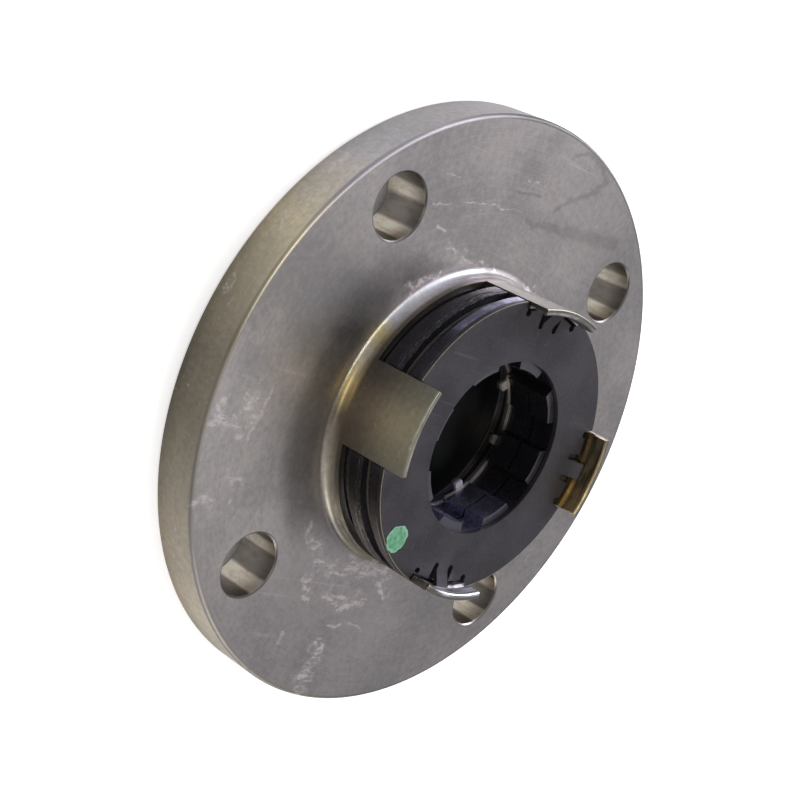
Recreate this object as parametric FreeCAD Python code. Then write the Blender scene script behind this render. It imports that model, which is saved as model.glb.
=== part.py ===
import FreeCAD
import Part
import math
import os

# Torsional damper: a flanged hub carries four castle-like fingers. Steel plates keyed between the
# fingers clamp two friction discs whose internal splines take the shaft. A pair of disc springs in
# the hub's pocket presses the pack against the front plate, which snaps into a groove in the fingers.
# Millimetres. Origin at the centre of the flange's back face, +Z out of the open front.

# Flange and its bolt holes
flange_radius = 62.5
flange_thickness = 10.5
flange_edge_round = 0.8
flange_back_chamfer = 0.8
bolt_edge_wall = 5.0
bolt_hole_radius = 6.5
bolt_hole_count = 4
bolt_hole_chamfer = 0.3

# Collar and fingers
finger_count = 4
collar_radius = 30.5
collar_wall = 1.4
collar_root_fillet = 2.0
collar_height = 3.5
finger_half_angle = 16.4
finger_reach = 4.7
finger_edge_break = 0.25
groove_start = 0.4
groove_depth = 0.65

# The shaft that the damper takes: eight straight-sided keys, 32 x 36 x 6
shaft_key_count = 8
shaft_major_radius = 18.0
shaft_key_height = 2.0
shaft_key_width = 6.0

# Pocket in the flange for the springs, and the deeper space for the shaft's end
pocket_depth = 3.15
shaft_end_depth = 2.85
shaft_end_clearance = 2.0

# How far the discs and the tabbed spring are turned at rest
disc_rest_angle = -6.3
spring_rest_angle = -2.3

# Disc springs
spring_thickness = 1.4
spring_cone_height = 0.9
spring_bore_inset = 0.5
spring_tab_length = 2.7
spring_tab_base_width = 4.4
spring_tab_tip_width = 2.0
spring_tab_root = 0.5
thrust_washer_thickness = 1.2

# Friction discs and their linings
boss_wall = 2.3
boss_gap = 0.55
rear_web_offset = 0.85
rear_web_thickness = 1.75
front_boss_rear_reach = 1.15
front_boss_front_gap = 0.1
front_web_thickness = 1.1
lining_thickness = 0.6

# Plates keyed between the fingers
rear_plate_thickness = 1.9
thin_plate_thickness = 0.5
thin_plate_count = 3
pressure_ring_thickness = 2.2
front_plate_thickness = 1.0
plate_bore_clearance = 0.4
plate_edge_setback = 0.15
plate_chamfer = 0.2

# Snap lugs cut in the front plate's edge at each finger
lug_slot_angle = 5.2
lug_slot_width = 1.3
lug_slot_depth = 3.3
lug_bend_depth = 2.7
corner_relief_radius = 0.75
side_lug_gap = 0.4

# Working clearances, and how far a cutter runs past what it cuts
cut_margin = 1.0
tooth_tip_clearance = 0.3
tooth_root_clearance = 0.2
tooth_side_clearance = 0.1
front_bore_clearance = 0.1
washer_bore_clearance = 0.6
spring_edge_clearance = 0.7
disc_edge_clearance = 0.3
groove_clearance = 0.25
running_gap = 0.05
key_gap = 0.25
notch_gap = 0.25
lug_tip_gap = 0.1
lug_knee_gap = 0.2

# Places worked out from the sizes above
AXIS = FreeCAD.Vector(0, 0, 1)
ORIGIN = FreeCAD.Vector(0, 0, 0)
finger_pitch = 360.0 / finger_count
bolt_circle_radius = flange_radius - bolt_edge_wall - bolt_hole_radius
collar_inner_radius = collar_radius - collar_wall
shaft_end_radius = shaft_major_radius + shaft_end_clearance
washer_bore_radius = shaft_end_radius + washer_bore_clearance
spring_outer_radius = collar_inner_radius - spring_edge_clearance
spring_bore_radius = shaft_major_radius - spring_bore_inset
tooth_tip_radius = shaft_major_radius - shaft_key_height + tooth_tip_clearance
tooth_root_radius = shaft_major_radius + tooth_root_clearance
boss_radius = tooth_root_radius + boss_wall
disc_radius = collar_inner_radius - disc_edge_clearance
plate_bore_radius = boss_radius + plate_bore_clearance
front_plate_bore_radius = shaft_major_radius + front_bore_clearance
plate_radius = collar_radius - plate_edge_setback
notch_radius = collar_inner_radius - notch_gap
key_angle = math.degrees(key_gap / collar_inner_radius)

window_floor_z = flange_thickness + collar_height
pocket_floor_z = flange_thickness - pocket_depth
shaft_end_z = pocket_floor_z - shaft_end_depth
rear_spring_z = pocket_floor_z + thrust_washer_thickness
front_spring_z = rear_spring_z + spring_thickness + spring_cone_height + running_gap
spring_top_z = front_spring_z + spring_thickness + spring_cone_height
rear_boss_z = spring_top_z + running_gap
rear_web_z = rear_boss_z + rear_web_offset
rear_lining_z = rear_web_z + rear_web_thickness
rear_plate_z = rear_lining_z + lining_thickness + running_gap
thin_plates_z = rear_plate_z + rear_plate_thickness
front_rear_lining_z = thin_plates_z + thin_plate_count * thin_plate_thickness + running_gap
front_web_z = front_rear_lining_z + lining_thickness
front_front_lining_z = front_web_z + front_web_thickness
pressure_ring_z = front_front_lining_z + lining_thickness + running_gap
front_plate_z = pressure_ring_z + pressure_ring_thickness
front_plate_face_z = front_plate_z + front_plate_thickness
front_boss_z = front_web_z - front_boss_rear_reach
front_boss_top_z = front_plate_z - front_boss_front_gap
rear_boss_top_z = front_boss_z - boss_gap
finger_top_z = front_plate_face_z + finger_reach
groove_z = front_plate_face_z + groove_start
groove_width = front_plate_thickness + groove_clearance
groove_radius = collar_inner_radius + groove_depth


def at(radius, z):
    """A point of a turned section, in the XZ plane."""
    return FreeCAD.Vector(radius, 0, z)


def turned(edges):
    """The solid turned from a closed half section."""
    face = Part.Face(Part.Wire(edges))
    return face.revolve(ORIGIN, AXIS, 360)


def outline(points):
    """Straight edges round a list of points, closed."""
    return Part.makePolygon(points + [points[0]]).Edges


def arc(start, centre, end):
    """The shorter circular edge from start to end about a centre."""
    radius = start.distanceToPoint(centre)
    middle = (start + end) * 0.5 - centre
    middle.normalize()
    return Part.Arc(start, centre + middle * radius, end).toShape()


def ring(inner, outer, z, height, chamfer=0.0):
    """A flat ring, with its outer edges chamfered if asked."""
    points = [
        at(inner, z),
        at(outer - chamfer, z),
        at(outer, z + chamfer),
        at(outer, z + height - chamfer),
        at(outer - chamfer, z + height),
        at(inner, z + height),
    ]
    if chamfer == 0.0:
        points = [points[0], points[2], points[3], points[5]]
    return turned(outline(points))


def turned_to(shape, angle):
    """A copy of a shape, turned about the damper's axis."""
    copy = shape.copy()
    copy.rotate(ORIGIN, AXIS, angle)
    return copy


def all_round(shape, count, start=0.0):
    """Copies of a shape, evenly spaced round the axis."""
    return [turned_to(shape, start + 360.0 * k / count) for k in range(count)]


def sector(half_angle, inner, outer, z, height):
    """A block between two radii, spread to both sides of the X axis by under a right angle."""
    full = ring(inner, outer, z, height)
    spread = math.radians(half_angle)
    reach = outer / math.cos(spread) + cut_margin
    wedge = Part.Face(Part.makePolygon([
        FreeCAD.Vector(0, 0, z),
        FreeCAD.Vector(reach * math.cos(spread), -reach * math.sin(spread), z),
        FreeCAD.Vector(reach * math.cos(spread), reach * math.sin(spread), z),
        FreeCAD.Vector(0, 0, z),
    ])).extrude(FreeCAD.Vector(0, 0, height))
    return full.common(wedge)


def hub_section():
    """Half section of the hub: flange, filleted collar, fingers, pocket and shaft end space."""
    rim = flange_radius
    face = flange_thickness
    edge = flange_edge_round
    root = collar_root_fillet
    tip = finger_edge_break
    groove_top = groove_z + groove_width
    points = {
        "axis_back": at(0, 0),
        "back_edge": at(rim - flange_back_chamfer, 0),
        "rim_back": at(rim, flange_back_chamfer),
        "rim_front": at(rim, face - edge),
        "face_edge": at(rim - edge, face),
        "fillet_start": at(collar_radius + root, face),
        "fillet_end": at(collar_radius, face + root),
        "tip_outer": at(collar_radius, finger_top_z - tip),
    }
    rounds = [
        arc(points["rim_front"], at(rim - edge, face - edge), points["face_edge"]),
        arc(points["fillet_start"], at(collar_radius + root, face + root), points["fillet_end"]),
    ]
    inside = [
        points["tip_outer"],
        at(collar_radius - tip, finger_top_z),
        at(collar_inner_radius + tip, finger_top_z),
        at(collar_inner_radius, finger_top_z - tip),
        at(collar_inner_radius, groove_top),
        at(groove_radius, groove_top),
        at(groove_radius, groove_z),
        at(collar_inner_radius, groove_z),
        at(collar_inner_radius, pocket_floor_z),
        at(shaft_end_radius, pocket_floor_z),
        at(shaft_end_radius, shaft_end_z),
        at(0, shaft_end_z),
        points["axis_back"],
    ]
    edges = Part.makePolygon([points["axis_back"], points["back_edge"], points["rim_back"],
                              points["rim_front"]]).Edges
    edges.append(rounds[0])
    edges.append(Part.makeLine(points["face_edge"], points["fillet_start"]))
    edges.append(rounds[1])
    edges.append(Part.makeLine(points["fillet_end"], points["tip_outer"]))
    edges += Part.makePolygon(inside).Edges
    return edges


def bolt_hole():
    """Through hole with both mouths chamfered, on the X axis."""
    mouth = bolt_hole_radius + bolt_hole_chamfer
    top = flange_thickness
    hole = turned(outline([
        at(0, 0),
        at(mouth, 0),
        at(bolt_hole_radius, bolt_hole_chamfer),
        at(bolt_hole_radius, top - bolt_hole_chamfer),
        at(mouth, top),
        at(0, top),
    ]))
    hole.translate(FreeCAD.Vector(bolt_circle_radius, 0, 0))
    return hole


def hub():
    """The flange with its collar and fingers, turned and milled from one piece."""
    body = turned(hub_section())
    window_half = finger_pitch / 2.0 - finger_half_angle
    inner = collar_inner_radius - cut_margin
    outer = collar_radius + cut_margin
    depth = finger_top_z - window_floor_z + cut_margin
    window = sector(window_half, inner, outer, window_floor_z, depth)
    cuts = all_round(window, finger_count, finger_pitch / 2.0)
    cuts += all_round(bolt_hole(), bolt_hole_count, finger_pitch / 2.0)
    return body.cut(cuts)


def thrust_washer():
    """Hard washer on the pocket floor, under the rear spring."""
    return ring(washer_bore_radius, spring_outer_radius, pocket_floor_z, thrust_washer_thickness)


def cone(inner, outer, inner_z, outer_z):
    """Conical ring of the springs' thickness, given the rear height of each edge."""
    return turned(outline([
        at(inner, inner_z),
        at(outer, outer_z),
        at(outer, outer_z + spring_thickness),
        at(inner, inner_z + spring_thickness),
    ]))


def rear_disc_spring():
    """Plain disc spring: its bore rests on the thrust washer, its rim carries the front spring."""
    return cone(washer_bore_radius, spring_outer_radius, rear_spring_z,
                rear_spring_z + spring_cone_height)


def spring_tab(z):
    """One flat inward tab of the front spring, on the X axis."""
    root = spring_bore_radius + spring_tab_root
    tip = spring_bore_radius - spring_tab_length
    half_tip = spring_tab_tip_width / 2.0
    half_base = spring_tab_base_width / 2.0
    points = [
        FreeCAD.Vector(tip, -half_tip, z),
        FreeCAD.Vector(spring_bore_radius, -half_base, z),
        FreeCAD.Vector(root, -half_base, z),
        FreeCAD.Vector(root, half_base, z),
        FreeCAD.Vector(spring_bore_radius, half_base, z),
        FreeCAD.Vector(tip, half_tip, z),
    ]
    outline_wire = Part.makePolygon(points + [points[0]])
    return Part.Face(outline_wire).extrude(FreeCAD.Vector(0, 0, spring_thickness))


def front_disc_spring():
    """Disc spring with eight tapered tabs that stand in the spline's spaces."""
    bore_z = front_spring_z + spring_cone_height
    dished = cone(spring_bore_radius, spring_outer_radius, bore_z, front_spring_z)
    tabs = all_round(spring_tab(bore_z), shaft_key_count, spring_rest_angle)
    return dished.fuse(tabs).removeSplitter()


def spline_space(z, height):
    """What the splined bore leaves open: the tip circle and a straight slot for each key."""
    slot_width = shaft_key_width + 2.0 * tooth_side_clearance
    reach = tooth_root_radius + cut_margin
    slot = Part.makeBox(reach, slot_width, height, FreeCAD.Vector(0, -slot_width / 2.0, z))
    pitch = 360.0 / shaft_key_count
    slots = all_round(slot, shaft_key_count, disc_rest_angle + pitch / 2.0)
    root = Part.makeCylinder(tooth_root_radius, height, FreeCAD.Vector(0, 0, z))
    core = Part.makeCylinder(tooth_tip_radius, height, FreeCAD.Vector(0, 0, z))
    return core.fuse([root.common(s) for s in slots])


def toothed_disc(boss_z, boss_top, web_z, web_thickness):
    """A splined boss with a thin web that runs out between the linings."""
    blank_bore = tooth_tip_radius - cut_margin
    blank = turned(outline([
        at(blank_bore, boss_z),
        at(boss_radius, boss_z),
        at(boss_radius, web_z),
        at(disc_radius, web_z),
        at(disc_radius, web_z + web_thickness),
        at(boss_radius, web_z + web_thickness),
        at(boss_radius, boss_top),
        at(blank_bore, boss_top),
    ]))
    return blank.cut(spline_space(boss_z, boss_top - boss_z))


def lining(z):
    """Friction ring bonded to a disc's web."""
    return ring(plate_bore_radius, disc_radius, z, lining_thickness)


def finger_notches(z, height):
    """The gaps in a plate's edge that let it slide between the fingers."""
    half = finger_half_angle + key_angle
    notch = sector(half, notch_radius, plate_radius + cut_margin, z, height)
    return all_round(notch, finger_count)


def keyed_plate(inner, z, thickness, chamfer=0.0):
    """A ring with lugs that fill the windows between the fingers."""
    return ring(inner, plate_radius, z, thickness, chamfer).cut(finger_notches(z, thickness))


def corner_relief(side):
    """Small round relief where a lug row meets the notch's corner."""
    half = math.radians(finger_half_angle + key_angle) - corner_relief_radius / notch_radius
    radius = notch_radius - corner_relief_radius
    centre = FreeCAD.Vector(radius * math.cos(half), side * radius * math.sin(half), front_plate_z)
    return Part.makeCylinder(corner_relief_radius, front_plate_thickness, centre)


def lug_slot(side):
    """Slot beside the snap lug, with a round inner end."""
    start = notch_radius - lug_slot_depth
    base = FreeCAD.Vector(start, -lug_slot_width / 2.0, front_plate_z)
    slot = Part.makeBox(lug_slot_depth + cut_margin, lug_slot_width, front_plate_thickness, base)
    end = Part.makeCylinder(lug_slot_width / 2.0, front_plate_thickness,
                            FreeCAD.Vector(start, 0, front_plate_z))
    return turned_to(slot.fuse(end), side * lug_slot_angle)


def lug_half_width():
    """Half the width that the two slots leave for the snap lug."""
    radius = notch_radius - lug_bend_depth
    return radius * math.sin(math.radians(lug_slot_angle)) - lug_slot_width / 2.0


def snap_lug():
    """Middle lug, bent forward so that its tip springs into the fingers' groove."""
    bend = notch_radius - lug_bend_depth
    knee = collar_inner_radius - lug_knee_gap
    tip = groove_radius - lug_tip_gap
    rise = groove_start + groove_width - lug_tip_gap
    half = lug_half_width()
    side = [
        FreeCAD.Vector(bend, -half, front_plate_z),
        FreeCAD.Vector(bend, -half, front_plate_face_z),
        FreeCAD.Vector(knee, -half, front_plate_face_z + rise),
        FreeCAD.Vector(tip, -half, front_plate_face_z + rise),
        FreeCAD.Vector(tip, -half, front_plate_z + rise),
        FreeCAD.Vector(knee, -half, front_plate_z + rise),
    ]
    return Part.Face(Part.makePolygon(side + [side[0]])).extrude(FreeCAD.Vector(0, 2.0 * half, 0))


def front_plate():
    """Retaining plate: keyed ring with three lugs at each finger, the middle one bent and sprung."""
    height = front_plate_thickness
    plate = keyed_plate(front_plate_bore_radius, front_plate_z, height)
    half = lug_half_width()
    bend = notch_radius - lug_bend_depth
    flat_lug = Part.makeBox(lug_bend_depth + cut_margin, 2.0 * half, height,
                            FreeCAD.Vector(bend, -half, front_plate_z))
    side_trim = sector(finger_half_angle, notch_radius - side_lug_gap, plate_radius, front_plate_z,
                       height)
    cuts = [flat_lug, side_trim, lug_slot(-1), lug_slot(1), corner_relief(-1), corner_relief(1)]
    for cut in cuts:
        plate = plate.cut(all_round(cut, finger_count))
    return plate.fuse(all_round(snap_lug(), finger_count)).removeSplitter()


def parts():
    """Every piece of the damper, from the back to the front."""
    pieces = {
        "hub": hub(),
        "thrust_washer": thrust_washer(),
        "rear_disc_spring": rear_disc_spring(),
        "front_disc_spring": front_disc_spring(),
        "rear_friction_disc": toothed_disc(rear_boss_z, rear_boss_top_z, rear_web_z,
                                           rear_web_thickness),
        "rear_disc_lining": lining(rear_lining_z),
        "rear_plate": keyed_plate(plate_bore_radius, rear_plate_z, rear_plate_thickness,
                                  plate_chamfer),
        "front_disc_rear_lining": lining(front_rear_lining_z),
        "front_friction_disc": toothed_disc(front_boss_z, front_boss_top_z, front_web_z,
                                            front_web_thickness),
        "front_disc_front_lining": lining(front_front_lining_z),
        "pressure_ring": keyed_plate(plate_bore_radius, pressure_ring_z, pressure_ring_thickness,
                                     plate_chamfer),
        "front_plate": front_plate(),
    }
    for k in range(thin_plate_count):
        z = thin_plates_z + k * thin_plate_thickness
        pieces["thin_plate_%d" % (k + 1)] = keyed_plate(plate_bore_radius, z, thin_plate_thickness)
    return pieces


os.makedirs("parts", exist_ok=True)
for name, shape in parts().items():
    solids = shape.Solids
    if len(solids) == 1:
        shape = solids[0]
    shape.exportStep("parts/" + name + ".step")
    box = shape.BoundBox
    print("%-24s solids %d valid %s volume %9.1f z %6.2f to %6.2f" % (
        name, len(solids), shape.isValid(), shape.Volume, box.ZMin, box.ZMax))
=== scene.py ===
import bmesh
import bpy
import math
from mathutils import Matrix, Vector


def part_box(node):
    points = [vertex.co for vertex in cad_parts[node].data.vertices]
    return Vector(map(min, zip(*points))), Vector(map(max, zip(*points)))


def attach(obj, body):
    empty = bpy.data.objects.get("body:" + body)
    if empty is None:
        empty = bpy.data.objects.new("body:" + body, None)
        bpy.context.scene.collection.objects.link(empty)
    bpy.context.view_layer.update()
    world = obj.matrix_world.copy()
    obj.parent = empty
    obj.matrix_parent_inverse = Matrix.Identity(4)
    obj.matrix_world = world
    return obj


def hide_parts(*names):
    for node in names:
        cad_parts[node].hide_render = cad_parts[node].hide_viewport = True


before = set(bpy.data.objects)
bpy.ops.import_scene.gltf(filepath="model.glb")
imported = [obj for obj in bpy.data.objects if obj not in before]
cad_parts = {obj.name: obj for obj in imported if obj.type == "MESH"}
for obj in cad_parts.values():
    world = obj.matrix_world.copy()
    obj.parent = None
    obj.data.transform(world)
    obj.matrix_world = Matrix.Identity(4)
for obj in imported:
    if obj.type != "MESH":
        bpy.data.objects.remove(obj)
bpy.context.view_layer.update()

# Hub
# The flange, its low collar and the four castle-like fingers are one piece of steel: turned on a
# lathe, with the windows milled through the collar afterwards and four bolt holes drilled between
# the fingers. Its surface is satin, scuffed and smeared from handling, with painted reflections,
# highlights and shade laid on its colour by the side each point looks to.
MM = 0.001
FLANGE_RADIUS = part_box("hub")[1].x / MM
FINGER_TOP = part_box("hub")[1].z / MM
FLANGE_FACE = 10.5
FLANGE_ROUND = 0.8
COLLAR_RADIUS = 30.5
COLLAR_BORE = 29.1
COLLAR_FILLET = 2.0
WINDOW_FLOOR = 14.0
FINGER_HALF_ANGLE = 16.4
FINGER_EDGE = 0.25
GROOVE_RADIUS = 29.75
GROOVE_BOTTOM = 25.9
GROOVE_TOP = 27.15
POCKET_FLOOR = 7.35
SHAFT_END_RADIUS = 20.0
SHAFT_END_FLOOR = 4.5
BOLT_CIRCLE = 51.0
BOLT_HOLE = 6.5
BOLT_CHAMFER = 0.3
QUARTER = 90.0
HUB_EDGE = 0.14
CUT_PAST = 1.0
FINE_STEPS = 288
HOLE_STEPS = 72
SMALL_STEPS = 32
STEEL = (0.50, 0.466, 0.452, 1.0)
STEEL_WORN = (0.90, 0.815, 0.79, 1.0)
STEEL_SMEAR = (0.22, 0.205, 0.20, 1.0)
# Painted shade for the shaft's pocket deep in the bore
POCKET_PAINTED_SHADE = (0.11, 0.115, 0.118, 1.0)
STEEL_OILED = (0.56, 0.56, 0.48, 1.0)
# Painted light on the upper part of one finger
FINGER_PAINTED_LIGHT = (1.34, 1.42, 1.28, 1.0)
# Painted shade on the collar and finger on the far side
FAR_FINGER_PAINTED_SHADE = (0.69, 0.74, 0.75, 1.0)
HUE_COOL = (0.99, 0.99, 1.0, 1.0)
HUE_WARM = (0.995, 0.97, 0.965, 1.0)
# A painted gold glint inside one finger
GOLD_PAINTED_GLINT = (0.98, 0.76, 0.36, 1.0)
WALL_DARK = (0.30, 0.272, 0.245, 1.0)
# Painted reflections in the bolt holes' walls
WALL_PAINTED_GLEAM = (0.98, 0.885, 0.75, 1.0)
PLAIN, DULL, SHADE = (0.50, 0.466, 0.452), (0.15, 0.142, 0.135), (0.31, 0.28, 0.22)
COOL, BRIGHT, LILAC = (0.62, 0.60, 0.585), (0.96, 0.955, 1.0), (0.56, 0.52, 0.53)
OLIVE, WARM, KHAKI = (0.50, 0.470, 0.440), (0.90, 0.83, 0.68), (0.75, 0.68, 0.49)
BRASS, GILT = (0.54, 0.45, 0.27), (1.0, 0.85, 0.43)
# Painted reflections and shade on the flange's rim, by position round the axis.
RIM_PAINTED_REFLECTIONS = ((0.0, COOL), (0.13, COOL), (0.18, KHAKI), (0.25, SHADE), (0.28, SHADE), (0.39, WARM),
             (0.52, PLAIN), (0.86, PLAIN), (1.0, COOL))
# Painted reflections on the flange's rounded front edge, by position round the axis.
EDGE_PAINTED_REFLECTIONS = ((0.03, DULL), (0.09, LILAC), (0.15, LILAC), (0.185, KHAKI), (0.24, SHADE), (0.35, PLAIN),
              (0.55, SHADE), (1.0, DULL))
# Painted highlights, gold glints and shade on the fillet at the collar's foot, by position round the axis.
FILLET_PAINTED_HIGHLIGHTS = ((0.03, DULL), (0.09, BRIGHT), (0.16, BRIGHT), (0.18, GILT), (0.205, WARM), (0.235, GILT),
                (0.27, SHADE), (0.325, WARM), (0.40, DULL), (0.47, SHADE), (0.90, SHADE), (1.0, DULL))
# Painted reflections inside the collar and fingers: dark, bright and brassy bands by position round the
# axis.
INSIDE_PAINTED_REFLECTIONS = ((0.0, PLAIN), (0.40, PLAIN), (0.465, SHADE), (0.49, BRIGHT), (0.54, BRIGHT), (0.62, PLAIN),
                (0.70, BRASS), (0.80, BRASS), (0.90, PLAIN))
# Painted light and shade on the flange's face: a shade and a hue at each position round the axis.
FACE_PAINTED_LIGHT = ((0.0, 1.14, OLIVE), (0.19, 0.95, OLIVE), (0.30, 1.58, OLIVE), (0.345, 1.58, OLIVE),
               (0.41, 1.10, PLAIN), (0.50, 0.97, PLAIN), (0.80, 1.0, OLIVE), (0.89, 0.94, OLIVE),
               (1.0, 1.14, OLIVE))
SCUFFS = (
    ((5.9, -52.2), (8.0, -50.5), 2.2), ((9.5, -57.9), (12.4, -52.7), 2.6),
    ((20.0, -51.1), (21.5, -47.7), 2.2), ((25.5, -53.8), (24.3, -52.1), 1.8),
    ((25.7, -46.7), (27.3, -44.5), 1.4), ((27.1, -25.3), (31.6, -19.1), 1.5),
    ((31.6, -19.1), (33.4, -15.6), 2.2), ((33.4, -15.6), (37.6, -18.5), 1.6),
    ((37.6, -18.5), (43.3, -17.2), 1.3), ((33.9, -14.1), (33.3, 3.8), 3.4),
    ((40.2, -11.6), (40.8, -1.2), 2.6), ((36.2, 1.7), (38.1, 5.5), 1.3),
    ((60.7, -7.4), (51.8, -7.7), 3.0), ((-32.4, -17.9), (-31.6, -13.8), 2.0),
    ((-31.5, -12.4), (-33.1, -5.1), 1.2), ((-22.8, -25.4), (-26.5, -19.1), 1.5),
    ((-31.3, 5.9), (-30.8, 11.3), 1.1), ((-50.6, -4.3), (-50.7, 0.5), 1.2),
    ((-41.5, -46.7, 4.0), (-37.2, -50.2, 4.2), 1.3), ((-27.3, -56.2, 3.5), (-24.0, -57.7, 6.0), 1.0),
    ((-12.1, -61.3, 2.8), (-8.0, -62.0, 5.2), 1.1), ((31.0, -54.3, 6.0), (37.0, -50.4, 7.0), 0.9),
)
FINE_LINES = (
    ((1.2, -48.6), (5.8, -49.1), 0.45), ((5.8, -49.1), (8.9, -49.2), 0.4),
    ((8.9, -49.2), (13.1, -49.5), 0.55), ((46.7, -7.7), (45.5, -3.5), 0.45),
    ((45.5, -3.5), (45.3, 0.9), 0.45), ((45.3, 0.9), (46.5, 3.2), 0.45),
    ((50.8, -19.3), (48.6, -19.1), 0.8), ((-39.1, -27.9), (-43.3, -11.1), 0.22),
    ((-43.2, -10.1), (-44.1, -2.8), 0.28), ((-44.6, -27.5), (-45.5, -23.7), 0.22),
    ((-35.3, -23.9), (-35.3, -21.7), 0.45),
)
DARK_SMEARS = (
    ((-47.4, 6.9), (-50.2, 10.8), 1.0), ((-50.2, 10.8), (-53.7, 17.2), 0.9),
    ((-53.7, 17.2), (-56.6, 19.6), 0.9), ((-56.6, 19.6), (-58.6, 17.3), 0.8),
    ((-58.6, 17.3), (-60.3, 11.1), 0.7), ((-60.3, 11.1), (-59.3, 6.5), 0.7),
    ((-47.8, -6.1), (-48.1, 1.0), 0.5), ((-42.9, 0.5), (-43.9, 13.2), 1.2),
    ((-43.9, 13.2), (-45.9, 30.7), 2.2),
)
SCUFF_STRENGTH = 0.78
LINE_STRENGTH = 0.6
SMEAR_STRENGTH = 0.34


def alone(piece):
    """Selects one piece and makes it the active one."""
    bpy.ops.object.select_all(action="DESELECT")
    piece.select_set(True)
    bpy.context.view_layer.objects.active = piece


def edit(piece):
    """Goes into edit mode on one piece, with nothing in it selected."""
    alone(piece)
    bpy.ops.object.mode_set(mode="EDIT")
    bpy.ops.mesh.select_all(action="DESELECT")


def settle(piece):
    """Puts the piece's place and size into its mesh."""
    alone(piece)
    bpy.ops.object.transform_apply(location=True, rotation=True, scale=True)


def arc_points(centre, radius, start, end, steps):
    """Points of a round in a turned section, from one angle to another, in degrees."""
    spread = [math.radians(start + (end - start) * k / steps) for k in range(steps + 1)]
    return [(centre[0] + radius * math.cos(a), centre[1] + radius * math.sin(a)) for a in spread]


def turned(name, section, steps=FINE_STEPS, centre=(0.0, 0.0), closed=True):
    """A body of revolution: a ring drawn out point by point along its section, in millimetres.

    A closed section ends where it begins. An open one has both of its ends filled flat."""
    middle = Vector((centre[0], centre[1], 0.0)) * MM
    radius, height = section[0]
    bpy.ops.object.select_all(action="DESELECT")
    bpy.ops.mesh.primitive_circle_add(vertices=steps, radius=radius * MM,
                                      location=middle + Vector((0, 0, height * MM)))
    piece = bpy.context.object
    piece.name = name
    settle(piece)
    bpy.ops.object.mode_set(mode="EDIT")
    bpy.ops.mesh.select_all(action="SELECT")
    if not closed:
        bpy.ops.mesh.edge_face_add()
        bpy.ops.mesh.select_all(action="SELECT")
    points = section[1:] + ([section[0]] if closed else [])
    for next_radius, next_height in points:
        level = middle + Vector((0, 0, next_height * MM))
        bpy.ops.mesh.extrude_region_move(
            TRANSFORM_OT_translate={"value": (0, 0, (next_height - height) * MM)})
        factor = next_radius / radius
        bpy.ops.transform.resize(value=(factor, factor, 1), center_override=level)
        radius, height = next_radius, next_height
    bpy.ops.mesh.select_all(action="SELECT")
    bpy.ops.mesh.remove_doubles(threshold=0.001 * MM)
    bpy.ops.mesh.normals_make_consistent(inside=False)
    bpy.ops.object.mode_set(mode="OBJECT")
    return piece


def copies_round(piece, count, start=0.0):
    """Joins copies of a piece, evenly spaced about the axis, into one object."""
    turned_copies = []
    for k in range(count):
        twin = piece.copy()
        twin.data = piece.data.copy()
        bpy.context.collection.objects.link(twin)
        twin.rotation_euler.z = math.radians(start + 360.0 * k / count)
        settle(twin)
        turned_copies.append(twin)
    bpy.data.objects.remove(piece)
    bpy.ops.object.select_all(action="DESELECT")
    for twin in turned_copies:
        twin.select_set(True)
    bpy.context.view_layer.objects.active = turned_copies[0]
    bpy.ops.object.join()
    return bpy.context.object


def combine(piece, tool, operation="DIFFERENCE"):
    """Cuts a piece with a tool, joins them or keeps what they share. The tool is used up."""
    alone(piece)
    step = piece.modifiers.new("combine", "BOOLEAN")
    step.operation = operation
    step.solver = "EXACT"
    step.object = tool
    bpy.ops.object.modifier_apply(modifier=step.name)
    bpy.data.objects.remove(tool)
    return piece


def block(name, low, high):
    """A rectangular block between two corners, in millimetres."""
    low, high = Vector(low) * MM, Vector(high) * MM
    bpy.ops.object.select_all(action="DESELECT")
    bpy.ops.mesh.primitive_cube_add(size=1, location=(low + high) / 2)
    piece = bpy.context.object
    piece.name = name
    piece.scale = high - low
    settle(piece)
    return piece


def wedge(name, half_angle, inner, outer, low, high):
    """A block on the X axis, cut back to two radial planes that spread from the axis."""
    piece = block(name, (inner, -outer, low), (outer, outer, high))
    bpy.ops.object.mode_set(mode="EDIT")
    for side in (-1, 1):
        spread = math.radians(half_angle) * side
        normal = Vector((-math.sin(spread), math.cos(spread), 0)) * side
        bpy.ops.mesh.select_all(action="SELECT")
        bpy.ops.mesh.bisect(plane_co=(0, 0, 0), plane_no=normal, use_fill=True, clear_outer=True)
    bpy.ops.object.mode_set(mode="OBJECT")
    return piece


def break_edges(piece, width, wanted, sharper_than=40.0, segments=2):
    """Bevels the sharp edges whose middle the test picks. The width is in millimetres."""
    edit(piece)
    bpy.context.tool_settings.mesh_select_mode = (False, True, False)
    mesh = bmesh.from_edit_mesh(piece.data)
    for edge in mesh.edges:
        middle = (edge.verts[0].co + edge.verts[1].co) / (2 * MM)
        sharp = len(edge.link_faces) == 2 and edge.calc_face_angle() > math.radians(sharper_than)
        edge.select_set(sharp and wanted(middle))
    bmesh.update_edit_mesh(piece.data)
    bpy.ops.mesh.bevel(offset=width * MM, segments=segments, affect="EDGES", clamp_overlap=True)
    bpy.ops.object.mode_set(mode="OBJECT")
    bpy.context.tool_settings.mesh_select_mode = (True, False, False)


def finished(piece, smooth_below=32.0):
    """Smooth shading on the rounds, with flat faces kept flat and sharp edges kept sharp."""
    alone(piece)
    bpy.ops.object.shade_smooth_by_angle(angle=math.radians(smooth_below))
    weights = piece.modifiers.new("weights", "WEIGHTED_NORMAL")
    weights.keep_sharp = True
    bpy.ops.object.modifier_apply(modifier=weights.name)
    return piece


def reach(point):
    """Distance of a point from the shaft's axis."""
    return math.hypot(point.x, point.y)


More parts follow.
